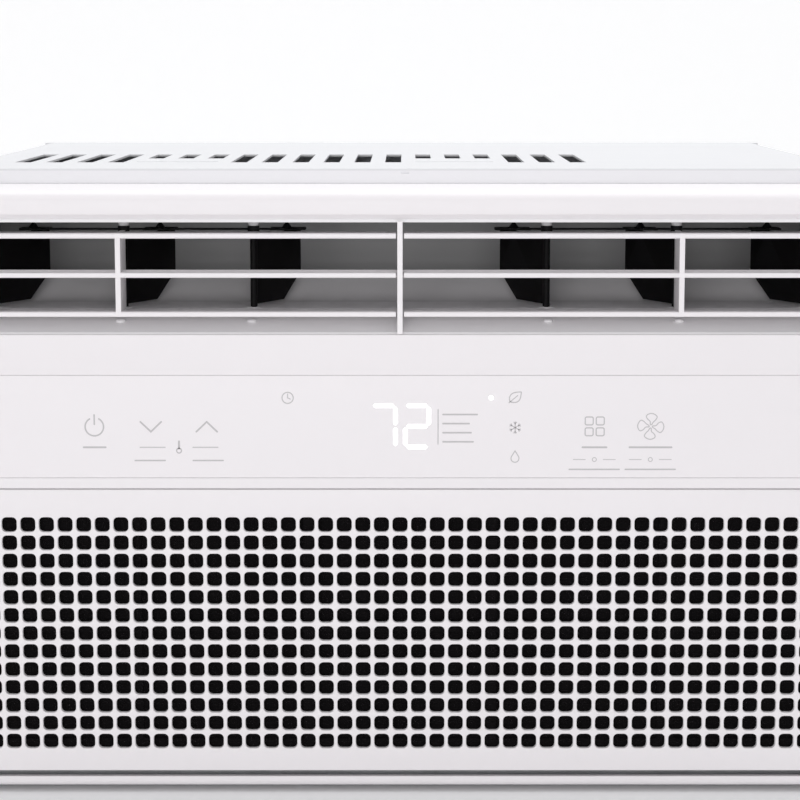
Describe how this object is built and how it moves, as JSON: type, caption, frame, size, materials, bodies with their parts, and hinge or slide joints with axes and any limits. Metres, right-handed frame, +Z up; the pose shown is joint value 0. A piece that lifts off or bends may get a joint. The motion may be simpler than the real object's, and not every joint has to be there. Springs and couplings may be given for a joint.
{
  "type": "window air conditioner",
  "caption": "Window air conditioner with a slotted steel cabinet, tilting outlet louvers, swinging vanes, touch panel and drop-down intake grille.",
  "frame": {"origin": "middle of the footprint, on the surface that the base pan stands on", "axes": "+Z up, +X to the right seen from the room, -Y towards the room"},
  "size_m": [0.48, 0.404, 0.315],
  "materials": {
    "white_plastic": "fine satin moulding",
    "white_paint": "smooth satin powder coat",
    "overlay_plastic": "soft satin film over plastic",
    "black_plastic": "satin moulding",
    "grey_plastic": "satin moulding",
    "filter_mesh": "fine woven nylon in a frame",
    "galvanised": "zinc coated sheet",
    "fin_aluminium": "fin stock",
    "copper": "drawn copper tube",
    "black_paint": "black enamel",
    "rubber": "matt",
    "foam": "expanded polystyrene",
    "circuit_board": "solder mask",
    "steel": "bright"
  },
  "bodies": {
    "chassis": {"base_pan": "galvanised", "drain_plug": "rubber", "cabinet": "white_paint", "rear_guard": "white_paint", "rear_screw_1": "steel", "rear_screw_2": "steel", "rear_screw_3": "steel", "rear_screw_4": "steel", "front_bezel": "white_plastic", "cord_gland": "black_plastic", "outlet_post": "white_plastic", "outlet_duct": "grey_plastic", "control_overlay": "overlay_plastic", "display_module": "white_plastic", "control_board": "circuit_board", "evaporator_coil": "fin_aluminium", "drain_tray": "foam", "blower_scroll": "foam", "bulkhead": "galvanised", "fan_motor": "galvanised", "motor_bracket": "galvanised", "motor_strap": "galvanised", "fan_shroud": "black_plastic", "condenser_coil": "fin_aluminium", "compressor": "black_paint", "compressor_grommet_1": "rubber", "compressor_grommet_2": "rubber", "compressor_grommet_3": "rubber", "accumulator": "black_paint", "discharge_line": "copper", "suction_line": "copper", "capillary_tube": "copper", "control_box": "galvanised", "capacitor": "fin_aluminium", "power_board": "circuit_board", "temperature_sensor": "copper"},
    "fan_rotor": {"motor_shaft": "steel", "blower_wheel": "black_plastic", "condenser_fan": "black_plastic"},
    "intake_front": {"intake_grille": "white_plastic", "air_filter": "filter_mesh"},
    "louver_left": {"louver_left": "white_plastic"},
    "louver_right": {"louver_right": "white_plastic"},
    "vane_left_1": {"vane_left_1": "black_plastic"},
    "vane_left_2": {"vane_left_2": "black_plastic"},
    "vane_left_3": {"vane_left_3": "black_plastic"},
    "vane_link_left": {"vane_link_left": "black_plastic"},
    "vane_right_1": {"vane_right_1": "black_plastic"},
    "vane_right_2": {"vane_right_2": "black_plastic"},
    "vane_right_3": {"vane_right_3": "black_plastic"},
    "vane_link_right": {"vane_link_right": "black_plastic"}
  },
  "joints": [
    {"name": "louver_left_tilt", "type": "hinge", "parent": "chassis", "child": "louver_left", "pos_m": [-0.113, -0.1915, 0.2649], "axis": [1, 0, 0], "range_deg": [-15, 15]},
    {"name": "louver_right_tilt", "type": "hinge", "parent": "chassis", "child": "louver_right", "pos_m": [0.113, -0.1915, 0.2649], "axis": [1, 0, 0], "range_deg": [-15, 15]},
    {"name": "vane_left_1_swing", "type": "hinge", "parent": "chassis", "child": "vane_left_1", "pos_m": [-0.0745, -0.17, 0.265], "axis": [0, 0, 1], "range_deg": [-8, 50]},
    {"name": "vane_left_2_swing", "type": "hinge", "parent": "chassis", "child": "vane_left_2", "pos_m": [-0.1404, -0.17, 0.265], "axis": [0, 0, 1], "range_deg": [-8, 50]},
    {"name": "vane_left_3_swing", "type": "hinge", "parent": "chassis", "child": "vane_left_3", "pos_m": [-0.2063, -0.17, 0.265], "axis": [0, 0, 1], "range_deg": [-8, 50]},
    {"name": "vane_link_left_slide", "type": "slide", "parent": "chassis", "child": "vane_link_left", "axis": [1, 0, 0], "range_m": [-0.0258, 0.0042]},
    {"name": "vane_right_1_swing", "type": "hinge", "parent": "chassis", "child": "vane_right_1", "pos_m": [0.0745, -0.17, 0.265], "axis": [0, 0, 1], "range_deg": [-50, 8]},
    {"name": "vane_right_2_swing", "type": "hinge", "parent": "chassis", "child": "vane_right_2", "pos_m": [0.1404, -0.17, 0.265], "axis": [0, 0, 1], "range_deg": [-50, 8]},
    {"name": "vane_right_3_swing", "type": "hinge", "parent": "chassis", "child": "vane_right_3", "pos_m": [0.2063, -0.17, 0.265], "axis": [0, 0, 1], "range_deg": [-50, 8]},
    {"name": "vane_link_right_slide", "type": "slide", "parent": "chassis", "child": "vane_link_right", "axis": [1, 0, 0], "range_m": [-0.0042, 0.0258]},
    {"name": "fan_spin", "type": "hinge", "parent": "chassis", "child": "fan_rotor", "pos_m": [-0.035, 0, 0.135], "axis": [0, 1, 0], "continuous": true},
    {"name": "grille_open", "type": "hinge", "parent": "chassis", "child": "intake_front", "pos_m": [0, -0.197, 0.017], "axis": [1, 0, 0], "range_deg": [0, 60]}
  ],
  "couplings": [
    {"joint": "vane_left_2_swing", "follows": "vane_left_1_swing", "ratio": 1},
    {"joint": "vane_left_3_swing", "follows": "vane_left_1_swing", "ratio": 1},
    {"joint": "vane_link_left_slide", "follows": "vane_left_1_swing", "m_per_rad": -0.0295},
    {"joint": "vane_right_2_swing", "follows": "vane_right_1_swing", "ratio": 1},
    {"joint": "vane_right_3_swing", "follows": "vane_right_1_swing", "ratio": 1},
    {"joint": "vane_link_right_slide", "follows": "vane_right_1_swing", "m_per_rad": -0.0295}
  ]
}
